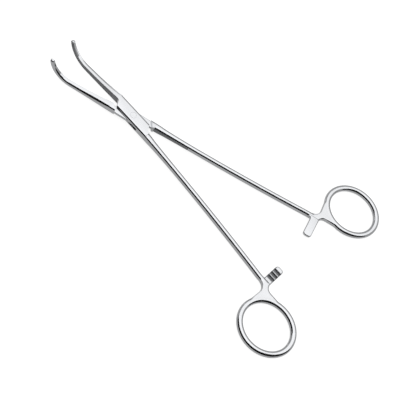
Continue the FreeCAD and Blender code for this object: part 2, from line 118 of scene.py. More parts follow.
# Web: its two ends on the ring, in degrees from the long axis at the shank, share of the
# wire that its edges cover there, how many fillets before the shoulder its outer side
# starts, and points on each curve.
CROWN_ANGLE = 20
FLANK_ANGLE = 77
WEB_COVER = 0.42
WEB_SIDE_FILLETS = 1.3
WEB_STEPS = 12

# Ratchet bar: its root inside the shank, radius of the hollow that leads into it, and how
# far before the bar that root starts.
RATCHET_LAP = 1.2 * MM
RATCHET_HOLLOW = 1.0 * MM
RATCHET_RISE = 1.6 * MM

# Teeth on a ratchet, and the share of the pitch that a ramp takes.
RATCHET_TEETH = 3
RAMP_SHARE = 0.9

# Skin over shank, ring and web: size of its cells, and strength and rounds of smoothing.
SKIN_CELL = 0.2 * MM
SKIN_EASE = 0.5
SKIN_ROUNDS = 30

# A face gets the ground steel, darker partly as painted shade between the arms, inside the shank
# where its normal has at least this share across, and on the ratchet where its share upwards is
# between these two.
ACROSS_SHARE = 0.9
RAMP_NORMALS = (0.85, 0.985)

# Angles in degrees past which two faces meet in a crease.
CREASE = 34
JAW_CREASE = 28

# Steel: values between which a noise mostly lies, size of its clouds, how much they shade
# the colour, and depth of the polishing strokes.
NOISE_RANGE = (0.3, 0.7)
CLOUD_SIZE = 9 * MM
CLOUD_SHADE = 0.05
STROKE_DEPTH = 0.01 * MM

# Floor: its radius, points round it, and how far it lies under the instrument.
FLOOR_RADIUS = 4
FLOOR_STEPS = 96
FLOOR_DROP = 0.02 * MM

# Softbox, and the glowing card and dark flag that only the steel mirrors, as painted light and dark
# reflections: size and place of the lamp in metres, place and direction of the card, and strips of
# the flag.
SOFTBOX_SIZE = (1.5, 1.8)
SOFTBOX_PLACE = (0.18, 0, 0.9)
CARD_PLACE = np.array([42, 26, 0]) * MM
CARD_ALONG = np.array([0.84, 0.54, 0])
FLAG_STRIPS = 24

# Camera: its axes, place and lens shift, found from the outlines of both arms.
CAMERA_RIGHT = (0.57522, -0.77036, 0.27510)
CAMERA_UP = (0.65029, 0.63467, 0.41752)
CAMERA_PLACE = (-0.23343, -0.07382, 0.40969)
CAMERA_SHIFT = (-0.00096, -0.06711)
CAMERA_REACH = (0.01, 50)
SENSOR_WIDTH = 36


# Properties

def length(name, millimetres, description):
    """A length property, given in millimetres and kept in metres."""
    return bpy.props.FloatProperty(
        name=name, description=description, default=millimetres * MM,
        subtype="DISTANCE", unit="LENGTH", precision=5)


def angle(name, degrees, description):
    """An angle property, given in degrees and kept in radians."""
    return bpy.props.FloatProperty(
        name=name, description=description, default=math.radians(degrees),
        subtype="ANGLE", unit="ROTATION")


def ratio(name, value, description):
    """A plain number, 0 to 1 for a share and up to 10 for a brightness."""
    return bpy.props.FloatProperty(
        name=name, description=description, default=value, subtype="FACTOR", min=0, max=10)


def srgb(code):
    """Linear red, green, blue of an sRGB hex colour."""
    channels = np.array([int(code[i:i + 2], 16) / 255 for i in (1, 3, 5)])
    low = channels / 12.92
    high = ((channels + 0.055) / 1.055) ** 2.4
    return tuple(np.where(channels <= 0.04045, low, high))


def colour(name, code, description):
    """A colour property, given as an sRGB hex colour."""
    return bpy.props.FloatVectorProperty(
        name=name, description=description, default=srgb(code), size=3,
        subtype="COLOR", min=0, max=1)


class BoxLockSizes(bpy.types.PropertyGroup):
    """Sizes of the box lock, its tongue and its pin."""

    opening: angle("Opening", 17.7, "angle between the jaws at rest")
    long: length("Length", 22.4, "between the shoulders along the biting plane")
    wide: length("Width", 7.2, "across both arms")
    thick: length("Thickness", 4.6, "outside of plate to outside of plate")
    edge: length("Edge", 1.3, "rounding of the outer edges")
    slant: length("Shoulder slant", 2.6, "how far a shoulder falls back at the side")
    root: length("Root", 1.3, "full-height root of jaw and shank past the shoulder")
    slot: length("Slot", 1.8, "gap between the two plates")
    window: length("Window", 6.4, "half length of the slot in the box's sides")
    web: length("Slot web", 1.8, "how much longer the slot is at the biting plane")
    gap: length("Gap", 0.05, "clearance at the biting plane and round the tongue")
    shoulder_gap: length("Shoulder gap", 0.3, "between a shoulder and the root that faces it")
    tongue_inset: length("Tongue inset", 0.1, "tongue's sides inside the box's sides")
    tongue_edge: length("Tongue edge", 0.3, "rounding of the tongue's edges")
    tongue_back: length("Tongue back", 1.5, "straight back edge of the tongue past the pin")
    tongue_cut: length("Tongue cut", 7.0, "end of the tongue's slanted back edge")
    pin: length("Pin radius", 1.7, "hinge pin")
    pin_bevel: length("Pin bevel", 0.06, "bevel round the pin's ground ends")


class JawSizes(bpy.types.PropertyGroup):
    """Sizes of the two jaws."""

    straight: length("Straight", 36.28, "hinge axis to the start of the bend")
    bend: length("Bend radius", 12.0, "bend of the centre line")
    tip_angle: angle("Tip angle", 80.0, "slope of the jaw at its tip")
    fall: angle("Fall", 3.4, "slope by which the straight jaw falls towards the bend")
    root_height: length("Root height", 4.4, "biting face at the box")
    tip_height: length("Tip height", 2.3, "biting face at the tip")
    root_width: length("Root width", 3.7, "thickness at the box")
    bend_width: length("Bend width", 2.75, "thickness at the start of the bend")
    tip_width: length("Tip width", 1.7, "thickness at the tip")
    back: length("Back round", 2.1, "rounding of the jaw's back at the box")
    face_edge: length("Face edge", 0.14, "broken edge of the biting face")
    nose: length("Nose", 0.9, "length of the rounded tip")
    pitch: length("Tooth pitch", 1.0, "spacing of the cross serrations")
    depth: length("Tooth depth", 0.35, "depth of the cross serrations")
    first_tooth: length("First tooth", 15.2, "hinge axis to the first serration")
    grown: length("Grown", 30.0, "hinge axis to where the jaw has its own section")


class HandleSizes(bpy.types.PropertyGroup):
    """Sizes of the shanks, finger rings and ratchets."""

    root_width: length("Root width", 3.5, "shank at the box")
    root_height: length("Root height", 4.5, "shank at the box")
    width: length("Width", 2.9, "slim part of the shank")
    height: length("Height", 3.7, "slim part of the shank")
    corner: length("Corner", 1.4, "edge rounding of the shank")
    start: length("Start", 12.0, "hinge axis to the start of the shank's spread")
    flat: length("Flat", 32.0, "hinge axis to the end of the shank's ground inner side")
    end: length("End", 103.0, "hinge axis to the ratchet end of the shank")
    root_offset: length("Root offset", 1.85, "centre line from the biting plane at its start")
    end_offset: length("End offset", 7.3, "centre line from the biting plane at its end")
    bow: length("Bow", 0.67, "inward bow of the centre line at mid length")
    drop: length("Ring drop", 1.97, "ring plane below the middle plane of the box")
    ring_offset: length("Ring offset", 22.8, "ring centre from the biting plane")
    ring_reach: length("Ring reach", 123.1, "hinge axis to ring centre")
    ring_long: length("Ring length", 28.6, "centre line of the wire, long way")
    ring_broad: length("Ring breadth", 25.6, "centre line of the wire, short way")
    ring_turn: angle("Ring turn", 5.6, "lean of the ring's long axis")
    wire: length("Wire", 3.3, "thickness of the ring's wire")
    neck_width: length("Neck width", 3.2, "shank where it has passed the ratchet")
    web: length("Web", 3.1, "plate that joins the shank to the ring")
    web_edge: length("Web edge", 1.0, "rounding of the web's edges")
    web_side: length("Web side", 8.75, "outer side of the web from the biting plane")
    web_shoulder: length("Web shoulder", 0.2, "web's outer shoulder above the ring's crown")
    web_fillet: length("Web fillet", 4.0, "web's outer corner against the shank")
    web_inner: length("Web inner side", 5.85, "inner side of the web from the biting plane")
    web_start: length("Web start", 0.7, "web's inner corner past the ring's crown")
    web_hollow: length("Web hollow", 3.3, "web's inner corner below the ratchet")
    place: length("Ratchet place", 107.25, "hinge axis to the middle of the ratchet")
    breadth: length("Ratchet breadth", 4.55, "ratchet bar along the shank")
    reach: length("Ratchet reach", 4.9, "tip of the bar past the biting plane")
    bar: length("Ratchet thickness", 1.75, "tooth crest to back")
    bar_gap: length("Ratchet gap", 0.1, "between the crests of the two ratchets")
    bar_corner: length("Ratchet corner", 1.5, "rounding of the bar's end in plan")
    bar_edge: length("Ratchet edge", 0.5, "rounding of the bar's top and bottom edges")
    pitch: length("Ratchet pitch", 2.4, "spacing of the ratchet teeth")
    depth: length("Ratchet depth", 0.7, "depth of the ratchet teeth")
    pad: length("Ratchet pad", 2.1, "plain pad at the bar's tip")


class SteelLook(bpy.types.PropertyGroup):
    """Colours and finish of the steel."""

    polished: colour("Polished steel", "#B4B5B7", "hand-polished outside of the arms")
    # Ground steel is darker partly as painted shade, in the serrations and on the inner flats
    # between the arms.
    ground: colour("Ground steel", "#77787A", "ground serrations, ratchet ramps and inner flats")
    gloss: ratio("Polish roughness", 0.12, "roughness of the polished steel")
    ground_gloss: ratio("Ground roughness", 0.36, "roughness of the ground steel")


class StageLook(bpy.types.PropertyGroup):
    """Floor, light and camera."""

    floor_white: ratio("Floor white", 0.86, "share of the floor's white that needs no lamp")
    floor_mirrored: ratio("Floor mirrored", 0.55, "how much of that share metal mirrors")
    floor_tint: colour("Floor tint", "#909090", "paper, as the lamp lights it")
    sky: ratio("Sky", 0.2, "strength of the room's light on the object")
    room_mirrored: ratio("Room mirrored", 0.5, "how much of the white room metal mirrors")
    key: bpy.props.FloatProperty(
        name="Key light", description="power of the softbox, in watts", default=12.8, unit="POWER")
    key_left: ratio("Key left", 1.2, "softbox's brightness at the camera's side")
    key_right: ratio("Key right", 0.7, "softbox's brightness at its far side")
    # The bounce card glows though it is no lamp, and only the steel sees it: a painted light
    # reflection beside the jaws.
    card: ratio("Bounce card", 1.7, "brightness of the small card beside the jaws")
    card_long: length("Card length", 36, "bounce card along the floor")
    card_high: length("Card height", 28, "bounce card from the floor")
    # The dark flag casts no shadow, and only the steel sees it: painted dark reflections along the
    # polished edges.
    flag_distance: length("Flag distance", 320, "dark flag from the hinge")
    flag_low: length("Flag bottom", 20, "lower rim of the dark flag")
    flag_high: length("Flag top", 760, "upper rim of the dark flag")
    flag_start: angle("Flag start", -95, "handle end of the dark flag, from the camera's side")
    flag_end: angle("Flag end", 75, "jaw end of the dark flag, from the camera's side")
    lens: bpy.props.FloatProperty(
        name="Lens", description="focal length, in millimetres", default=83.4, unit="CAMERA")


GROUPS = {
    "forceps_box": BoxLockSizes,
    "forceps_jaw": JawSizes,
    "forceps_handle": HandleSizes,
    "forceps_steel": SteelLook,
    "forceps_stage": StageLook,
}


# Shapes worked out with numpy

def smoothstep(share):
    """3t^2 - 2t^3, held at 0 and 1 outside."""
    t = np.clip(share, 0, 1)
    return t * t * (3 - 2 * t)


def between(start, end, share):
    """Straight mix of two values."""
    return start + (end - start) * share


def rounded_outline(corners, steps=9):
    """A polygon (x, y, radius) with each corner replaced by its tangent arc."""
    table = np.array(corners, dtype=float)
    points, radii = table[:, :2], table[:, 2]
    before = np.roll(points, 1, axis=0) - points
    after = np.roll(points, -1, axis=0) - points
    before /= np.linalg.norm(before, axis=1)[:, None]
    after /= np.linalg.norm(after, axis=1)[:, None]
    half = np.arccos(np.clip((before * after).sum(1), -1, 1)) / 2
    middle = before + after
    middle /= np.linalg.norm(middle, axis=1)[:, None]
    centre = points + middle * (radii / np.sin(half))[:, None]
    first = points + before * (radii / np.tan(half))[:, None] - centre
    last = points + after * (radii / np.tan(half))[:, None] - centre
    turn = np.arctan2(
        first[:, 0] * last[:, 1] - first[:, 1] * last[:, 0], (first * last).sum(1))
    share = turn[:, None] * np.linspace(0, 1, steps)[None, :]
    cos, sin = np.cos(share), np.sin(share)
    x = centre[:, :1] + first[:, :1] * cos - first[:, 1:] * sin
    y = centre[:, 1:] + first[:, :1] * sin + first[:, 1:] * cos
    return np.stack([x.ravel(), y.ravel()], axis=1)


def without_doubles(outline):
    """The outline with points closer than a micrometre to the next one left out."""
    step = np.linalg.norm(np.roll(outline, -1, axis=0) - outline, axis=1)
    return outline[step > MM / 1000]


def tube_faces(grid, endless=False):
    """Points and faces of a tube, rows along it and columns round it: a ring, or flat-ended."""
    rows, columns = grid.shape[:2]
    index = np.arange(rows * columns).reshape(rows, columns)
    here, following = index, np.roll(index, -1, axis=0)
    if not endless:
        here, following = index[:-1], index[1:]
    quads = np.stack(
        [here, np.roll(here, -1, axis=1), np.roll(following, -1, axis=1), following], axis=2)
    faces = quads.reshape(-1, 4).tolist()
    if not endless:
        faces.append(index[0][::-1].tolist())
        faces.append(index[-1].tolist())
    return grid.reshape(-1, 3), faces


def slab(outline, low, high, edge, steps=5):
    """A plate with rounded rims: the outline moves in by r(1 - cos a) as z climbs by r sin a."""
    outline = without_doubles(outline)
    area = np.cross(outline, np.roll(outline, -1, axis=0)).sum()
    outline = outline if area > 0 else outline[::-1]
    ahead = np.roll(outline, -1, axis=0) - outline
    ahead /= np.linalg.norm(ahead, axis=1)[:, None]
    behind = np.roll(ahead, 1, axis=0)
    inward = np.stack([-ahead[:, 1] - behind[:, 1], ahead[:, 0] + behind[:, 0]], axis=1)
    inward /= (1 + (ahead * behind).sum(1))[:, None]
    turn = np.linspace(0, math.pi / 2, steps)
    inset = edge * (1 - np.cos(turn))
    lift = edge * np.sin(turn)
    insets = np.concatenate([inset[::-1], inset])
    heights = np.concatenate([low + edge - lift[::-1], high - edge + lift])
    rings = outline[None] + inward[None] * insets[:, None, None]
    z = np.broadcast_to(heights[:, None, None], rings.shape[:2] + (1,))
    return tube_faces(np.concatenate([rings, z], axis=2))


def bar_section(width, height, corner, steps=8):
    """Sections of a bar as arrays: a rectangle width by height with quarter-circle corners."""
    width, height, corner = (
        np.atleast_1d(np.asarray(value, dtype=float)) for value in (width, height, corner))
    corner = np.minimum(corner, ROUND_LIMIT * np.minimum(width, height))
    turn = np.linspace(0, math.pi / 2, steps)
    angles = np.concatenate([turn + quarter * math.pi / 2 for quarter in range(4)])
    sign_u = np.repeat([1, -1, -1, 1], steps)
    sign_v = np.repeat([1, 1, -1, -1], steps)
    u = sign_u * (width / 2 - corner)[:, None] + corner[:, None] * np.cos(angles)
    v = sign_v * (height / 2 - corner)[:, None] + corner[:, None] * np.sin(angles)
    return u, v


def swept_bar(centre, heading, width, height, corner, endless=False):
    """A bar along a level path: section u across the heading, section v upwards."""
    u, v = bar_section(width, height, corner)
    across = np.stack([heading[:, 1], -heading[:, 0]], axis=1)
    x = centre[:, :1] + across[:, :1] * u
    y = centre[:, 1:2] + across[:, 1:] * u
    z = centre[:, 2:] + v
    return tube_faces(np.stack([x, y, z], axis=2), endless)


# Meshes

def add_object(name, data):
    """A new object in the scene's own collection."""
    item = bpy.data.objects.new(name, data)
    bpy.context.scene.collection.objects.link(item)
    return item


def placed(points, side):
    """Arm points, drawn with the jaws shut: mirrored by side, turned by half the opening, lifted."""
    box = bpy.context.scene.forceps_box
    turn = -side * box.opening / 2
    x, y = points[:, 0] * side, points[:, 1]
    cos, sin = math.cos(turn), math.sin(turn)
    return np.stack([x * cos - y * sin, x * sin + y * cos, points[:, 2] + HINGE_HEIGHT], axis=1)


def make_object(name, points, faces, side):
    """A mesh object from arm points; the arm on the other side is the mirror image."""
    faces = faces if side > 0 else [face[::-1] for face in faces]
    mesh = bpy.data.meshes.new(name)
    mesh.from_pydata(placed(np.asarray(points), side).tolist(), [], faces)
    mesh.validate()
    mesh.update()
    return add_object(name, mesh)


def closed_outwards(item):
    """Point all faces of a closed mesh outwards."""
    work = bmesh.new()
    work.from_mesh(item.data)
    bmesh.ops.recalc_face_normals(work, faces=work.faces)
    work.to_mesh(item.data)
    work.free()
    return item


def apply_modifiers(item):
    """Replace an object's mesh by what its modifiers make of it."""
    graph = bpy.context.evaluated_depsgraph_get()
    graph.update()
    mesh = bpy.data.meshes.new_from_object(item.evaluated_get(graph))
    item.modifiers.clear()
    item.data = mesh
    return item


def combine(item, others, operation):
    """Exact boolean of an object with others, which are used up."""
    for other in others:
        step = item.modifiers.new(operation, "BOOLEAN")
        step.operation = operation
        step.solver = "EXACT"
        step.object = other
    apply_modifiers(item)
    for other in others:
        bpy.data.objects.remove(other)
    return item


def flat_plate(name, corners, thickness, edge, side):
    """A slab centred on the middle plane, from plain corners."""
    outline = np.array(corners, dtype=float)
    return closed_outwards(make_object(
        name, *slab(outline, -thickness / 2, thickness / 2, edge), side))


def turned_pin(name, radius, low, high, bevel, side):
    """A round pin: circle radius r, its rim cut back by the bevel at both ends."""
    turn = np.linspace(0, 2 * math.pi, PIN_STEPS, endpoint=False)
    radii = np.array([radius - bevel, radius, radius, radius - bevel])
    heights = np.array([low, low + bevel, high - bevel, high])
    grid = np.stack([
        radii[:, None] * np.cos(turn),
        radii[:, None] * np.sin(turn),
        np.broadcast_to(heights[:, None], (4, len(turn))),
    ], axis=2)
    return closed_outwards(make_object(name, *tube_faces(grid), side))


def shade(item, crease=CREASE):
    """Smooth shading with creases kept where faces meet at more than the given angle."""
    item.data.shade_smooth()
    item.data.set_sharp_from_angle(angle=math.radians(crease))
    return item


def face_table(item):
    """Normals and centres of an object's faces."""
    count = len(item.data.polygons)
    normals = np.empty(count * 3)
    centres = np.empty(count * 3)
    item.data.polygons.foreach_get("normal", normals)
    item.data.polygons.foreach_get("center", centres)
    return normals.reshape(-1, 3), centres.reshape(-1, 3)


def give_ground_and_shade_finish(item, chosen):
    """Second material, the ground steel that is darker partly as painted shade, on the chosen faces,
    and the first on all others.
    """
    item.data.polygons.foreach_set("material_index", chosen.astype(np.int32))


def finish_piece(item, node, body, materials):
    """Give a piece its materials, say which body it rides on and hide the part that it stands for.
    """
    item.data.materials.clear()
    for material in materials:
        item.data.materials.append(material)
    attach(item, body)
    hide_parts(node)
    return item


# Materials

def empty_tree(owner):
    """The node tree of a material, world or lamp, switched on and emptied."""
    owner.use_nodes = True
    owner.node_tree.nodes.clear()
    return owner.node_tree


def add_node(tree, kind, settings=None, links=None):
    """Add a node, set its fields and unlinked sockets, and link its inputs."""
    item = tree.nodes.new(kind)
    for key, value in (settings or {}).items():
        if isinstance(key, str) and hasattr(item, key):
            setattr(item, key, value)
        else:
            item.inputs[key].default_value = value
    for key, output in (links or {}).items():
        tree.links.new(output, item.inputs[key])
    return item


def steel(name, tint, roughness, spread, grain, bump):
    """Stainless steel: a full metal, its roughness wandering along strokes, grain in millimetres."""
    material = bpy.data.materials.new(name)
    tree = empty_tree(material)
    place = add_node(tree, "ShaderNodeTexCoord")
    stretch = add_node(
        tree, "ShaderNodeMapping", {"Scale": tuple(1 / (size * MM) for size in grain)},
        {"Vector": place.outputs["Object"]})
    strokes = add_node(
        tree, "ShaderNodeTexNoise", {"Scale": 1.0, "Detail": 4.0, "Roughness": 0.6},
        {"Vector": stretch.outputs["Vector"]})
    clouds = add_node(
        tree, "ShaderNodeTexNoise", {"Scale": 1 / CLOUD_SIZE, "Detail": 2.0},
        {"Vector": place.outputs["Object"]})
    low, high = NOISE_RANGE
    dull = add_node(
        tree, "ShaderNodeMapRange",
        {"From Min": low, "From Max": high,
         "To Min": roughness - spread, "To Max": roughness + spread},
        {"Value": strokes.outputs["Fac"]})
    shades = add_node(
        tree, "ShaderNodeMix", {"data_type": "RGBA"}, {"Factor": clouds.outputs["Fac"]})
    darker, lighter = [socket for socket in shades.inputs if socket.type == "RGBA"]
    darker.default_value = (*[(1 - CLOUD_SHADE) * share for share in tint], 1)
    lighter.default_value = (*[min((1 + CLOUD_SHADE) * share, 1) for share in tint], 1)
    mixed = [socket for socket in shades.outputs if socket.type == "RGBA"][0]
    relief = add_node(
        tree, "ShaderNodeBump", {"Strength": bump, "Distance": STROKE_DEPTH},
        {"Height": strokes.outputs["Fac"]})
    surface = add_node(
        tree, "ShaderNodeBsdfPrincipled", {"Metallic": 1.0},
        {"Base Color": mixed, "Roughness": dull.outputs["Result"],
         "Normal": relief.outputs["Normal"]})
    add_node(tree, "ShaderNodeOutputMaterial", None, {"Surface": surface.outputs["BSDF"]})
    return material


MATERIALS = {}


def steels():
    """The two finishes of martensitic stainless steel on the instrument, made once."""
    if not MATERIALS:
        look = bpy.context.scene.forceps_steel
        # Mop-polished stainless steel: mirror-like with a faint haze, strokes run along the arms.
        # Strokes are about 0.15 mm apart, drawn at 0.5 mm so that they show.
        MATERIALS["polished"] = steel(
            "polished_stainless_steel", tuple(look.polished), look.gloss,
            spread=0.03, grain=(0.5, 6, 0.5), bump=0.04)
        # Ground stainless steel: duller, left by the wheel that cuts teeth and flats, and darker
        # partly as painted shade in the serrations and between the arms.
        MATERIALS["ground"] = steel(
            "ground_stainless_steel", tuple(look.ground), look.ground_gloss,
            spread=0.06, grain=(0.3, 0.3, 2), bump=0.3)
    return MATERIALS["polished"], MATERIALS["ground"]


# Jaws

def root_end():
    """Hinge axis to the end of the full-height root of jaw and shank."""
    box = bpy.context.scene.forceps_box
    return box.long / 2 + box.root


def jaw_length():
    """Length of a jaw's centre line: the straight, then the arc's radius times its turn."""
    jaw = bpy.context.scene.forceps_jaw
    return jaw.straight + jaw.bend * (jaw.tip_angle + jaw.fall)


def jaw_stations(start):
    """Places along the centre line: even steps, then closer and closer on the nose."""
    jaw = bpy.context.scene.forceps_jaw
    end = jaw_length()
    even = np.arange(start, end - jaw.nose, jaw.pitch / TOOTH_STEPS)
    turn = np.linspace(0, NOSE_TURN * math.pi, NOSE_STEPS)
    return np.concatenate([even, end - jaw.nose * (1 - np.sin(turn))])


def jaw_centre(stations):
    """Jaw centre line: a falling straight, then an arc bent upwards; point and slope."""
    jaw = bpy.context.scene.forceps_jaw
    run = np.minimum(stations, jaw.straight)
    slope = np.maximum(stations - jaw.straight, 0) / jaw.bend - jaw.fall
    y = run * math.cos(jaw.fall) + jaw.bend * (np.sin(slope) + math.sin(jaw.fall))
    z = -run * math.sin(jaw.fall) + jaw.bend * (math.cos(jaw.fall) - np.cos(slope))
    return y, z, slope


def jaw_growth(stations):
    """How far the jaw has grown from the box's section to its own: 1 - (1 - share)^2."""
    jaw = bpy.context.scene.forceps_jaw
    left = 1 - np.clip((stations - root_end()) / (jaw.grown - root_end()), 0, 1)
    return 1 - left * left


def jaw_sizes(stations, settle):
    """Height, width and roundings: even tapers to the tip, closed by a half circle at the nose."""
    box = bpy.context.scene.forceps_box
    jaw = bpy.context.scene.forceps_jaw
    end = jaw_length()
    height = between(jaw.root_height, jaw.tip_height, stations / end)
    height = between(box.thick - 2 * SINK, height, settle)
    width = np.where(
        stations < jaw.straight,
        between(jaw.root_width, jaw.bend_width, stations / jaw.straight),
        between(jaw.bend_width, jaw.tip_width,
                (stations - jaw.straight) / (end - jaw.straight)))
    width = between(box.wide / 2 - SINK, width, settle)
    back = between(box.edge, jaw.back * height / jaw.root_height, settle)
    short = np.clip((stations - (end - jaw.nose)) / jaw.nose, 0, 1)
    close = np.sqrt(np.maximum(1 - short ** 2, NOSE_LEAST))
    height = height * between(NOSE_HEIGHT, 1, close)
    width = box.gap + (width - box.gap) * between(NOSE_WIDTH, 1, close)
    edge = np.minimum(jaw.face_edge, FACE_EDGE_LIMIT * width)
    back = np.minimum(back, np.minimum(ROUND_LIMIT * height, BACK_LIMIT * (width - box.gap)))
    return height, width, back, edge


def jaw_section(height, width, back, edge):
    """Rounded rectangles: u out from the biting plane, v up, a quarter circle at each corner."""
    face = bpy.context.scene.forceps_box.gap
    turn = np.linspace(0, math.pi / 2, CORNER_STEPS)
    u_parts, v_parts = [], []
    for quarter, radius, pivot, sign in (
        (0, back, width - back, 1),
        (1, edge, face + edge, 1),
        (2, edge, face + edge, -1),
        (3, back, width - back, -1),
    ):
        angles = turn + quarter * math.pi / 2
        u_parts.append(pivot[:, None] + radius[:, None] * np.cos(angles))
        v_parts.append(sign * (height / 2 - radius)[:, None] + radius[:, None] * np.sin(angles))
    return np.concatenate(u_parts, axis=1), np.concatenate(v_parts, axis=1)


def jaw_zigzag(stations, phase):
    """Depth of the serrations: a zigzag of one pitch that fades over a pitch at both ends."""
    jaw = bpy.context.scene.forceps_jaw
    tooth = (stations - jaw.first_tooth) / jaw.pitch
    zigzag = jaw.depth * (1 - np.abs(2 * ((tooth + phase) % 1) - 1))
    left = (jaw_length() - jaw.nose - stations) / jaw.pitch
    return zigzag * (smoothstep(tooth) * smoothstep(left))


def jaw_mesh(start, phase):
    """Jaw: sections square to the centre line, their face moved in by the zigzag; ground faces,
    which get steel darker partly as painted shade.
    """
    box = bpy.context.scene.forceps_box
    jaw = bpy.context.scene.forceps_jaw
    stations = jaw_stations(start)
    settle = jaw_growth(stations)
    height, width, back, edge = jaw_sizes(stations, settle)
    u, v = jaw_section(height, width, back, edge)
    on_face = np.clip((box.gap + edge[:, None] - u) / edge[:, None], 0, 1)
    u = u + on_face * jaw_zigzag(stations, phase)[:, None]
    y, z, slope = jaw_centre(stations)
    slope = slope * settle
    z = z + root_end() * math.sin(jaw.fall) * (1 - settle)
    grid = np.stack([
        u,
        y[:, None] - np.sin(slope)[:, None] * v,
        z[:, None] + np.cos(slope)[:, None] * v,
    ], axis=2)
    points, faces = tube_faces(grid)
    column = np.arange(grid.shape[1]) - CORNER_STEPS // 2
    biting = (column >= CORNER_STEPS) & (column < 2 * CORNER_STEPS)
    ground = np.concatenate([np.tile(biting, len(stations) - 1), [False, False]])
    return points, faces, ground


# Shanks, rings and webs

def shank_centre(reach):
    """Shank centre line: offset grows evenly less a parabola, height falls evenly."""
    handle = bpy.context.scene.forceps_handle
    share = (reach - handle.start) / (handle.end - handle.start)
    spread = between(handle.root_offset, handle.end_offset, share)
    offset = spread - 4 * handle.bow * share * (1 - share)
    return -offset, -handle.drop * np.clip(share, 0, 1)


def ring_centre(turns):
    """Ring centre line: an ellipse, by angle from its long axis at the shank, leaning outwards."""
    handle = bpy.context.scene.forceps_handle
    u = handle.ring_long / 2 * np.cos(turns)
    v = handle.ring_broad / 2 * np.sin(turns)
    cos, sin = math.cos(handle.ring_turn), math.sin(handle.ring_turn)
    return -handle.ring_offset - u * sin + v * cos, -handle.ring_reach + u * cos + v * sin


def ring_crown():
    """Hinge axis to the wire's centre line at the shank's end of the ring."""
    handle = bpy.context.scene.forceps_handle
    return handle.ring_reach - handle.ring_long / 2


def shank_mesh():
    """Shank: a rounded bar that slims from the box, bows out and ends inside the web."""
    box = bpy.context.scene.forceps_box
    handle = bpy.context.scene.forceps_handle
    whole = root_end()
    bar = np.arange(whole - SHANK_LAP, handle.end, SHANK_STEP)
    reach = np.concatenate([bar, [handle.end, ring_crown()]])
    x, z = shank_centre(np.minimum(reach, handle.end))
    centre = np.stack([x, -reach, z], axis=1)
    heading = np.gradient(centre[:, :2], axis=0)
    heading /= np.linalg.norm(heading, axis=1)[:, None]
    settle = smoothstep((reach - whole) / SHANK_SETTLE)
    slim = np.clip((reach - whole) / (SHANK_SLIMMING * (handle.end - whole)), 0, 1)
    slim = slim * (2 - slim)
    width = between(handle.root_width, handle.width, slim)
    height = between(handle.root_height, handle.height, slim)
    width = between(box.wide / 2 - box.gap, width, settle)
    height = between(box.thick, height, settle)
    width[-1], height[-1] = handle.neck_width, handle.web - SHANK_BURIED
    return swept_bar(centre, heading, width, height, between(box.edge, handle.corner, settle))


def ring_mesh():
    """Finger ring: nearly round wire swept once round the oval."""
    handle = bpy.context.scene.forceps_handle
    turns = np.radians(np.arange(0, 360, RING_STEP))
    x, y = ring_centre(turns)
    centre = np.stack([x, y, np.full(len(turns), -handle.drop)], axis=1)
    heading = np.roll(centre, -1, axis=0)[:, :2] - np.roll(centre, 1, axis=0)[:, :2]
    heading /= np.linalg.norm(heading, axis=1)[:, None]
    wire = np.full(len(turns), handle.wire)
    return swept_bar(centre, heading, wire, wire, ROUND_LIMIT * wire, True)


def web_outline():
    """Web in plan: shank, hollow outer corner, ring's crown and flank, hollow inner corner."""
    handle = bpy.context.scene.forceps_handle
    crown = ring_crown()
    ring_x, ring_y = ring_centre(np.radians(np.linspace(CROWN_ANGLE, FLANK_ANGLE, WEB_STEPS)))
    cover = WEB_COVER * handle.wire
    level = handle.web_shoulder - crown
    start = -crown - handle.web_start
    outer = rounded_outline([
        (-handle.end_offset, -handle.end, 0),
        (-handle.web_side, level + WEB_SIDE_FILLETS * handle.web_fillet, 0),
        (-handle.web_side, level, handle.web_fillet),
        (ring_x[0], ring_y[0] + cover, 0),
    ], steps=WEB_STEPS)
    inner = rounded_outline([
        (ring_x[-1] + cover, ring_y[-1], 0),
        (-handle.web_inner - handle.web_hollow, start, handle.web_hollow),
        (-handle.web_inner, start, 0),
    ], steps=WEB_STEPS)
    return np.concatenate([outer, np.stack([ring_x, ring_y], axis=1), inner])


def handle_piece(arm, name):
    """Shank, ring and web fused by a fine voxel skin and smoothed into one forging."""
    handle = bpy.context.scene.forceps_handle
    low, high = -handle.drop - handle.web / 2, -handle.drop + handle.web / 2
    work = bmesh.new()
    for shape in (shank_mesh(), ring_mesh(), slab(web_outline(), low, high, handle.web_edge)):
        part = closed_outwards(make_object("part", *shape, arm["side"]))
        work.from_mesh(part.data)
        bpy.data.objects.remove(part)
    merge = bpy.data.meshes.new(name)
    work.to_mesh(merge)
    work.free()
    item = add_object(name, merge)
    skin = item.modifiers.new("skin", "REMESH")
    skin.mode = "VOXEL"
    skin.voxel_size = SKIN_CELL
    skin.use_smooth_shade = True
    ease = item.modifiers.new("ease", "SMOOTH")
    ease.factor = SKIN_EASE
    ease.iterations = SKIN_ROUNDS
    return apply_modifiers(item)


def mark_shaded_flats(item, side):
    """Give the ground finish, darker as painted shade between the arms, to the shank's inner side
    where it faces the other arm at the box.
    """
    handle = bpy.context.scene.forceps_handle
    normals, centres = face_table(item)
    inner = (normals[:, 0] * side > ACROSS_SHARE) & (-centres[:, 1] < handle.flat)
    give_ground_and_shade_finish(item, inner)


# Ratchets

def ratchet_outline():
    """Ratchet bar in plan: a round-ended bar across to the other arm, hollow at its root."""
    handle = bpy.context.scene.forceps_handle
    high = -handle.place + handle.breadth / 2
    low = -handle.place - handle.breadth / 2
    inner = -handle.end_offset + handle.width / 2
    return rounded_outline([
        (inner - RATCHET_LAP, high + RATCHET_RISE, 0),
        (inner, high + RATCHET_RISE, 0),
        (inner, high, RATCHET_HOLLOW),
        (handle.reach, high, handle.bar_corner),
        (handle.reach, low, handle.bar_corner),
        (inner - RATCHET_LAP, low, 0),
    ])


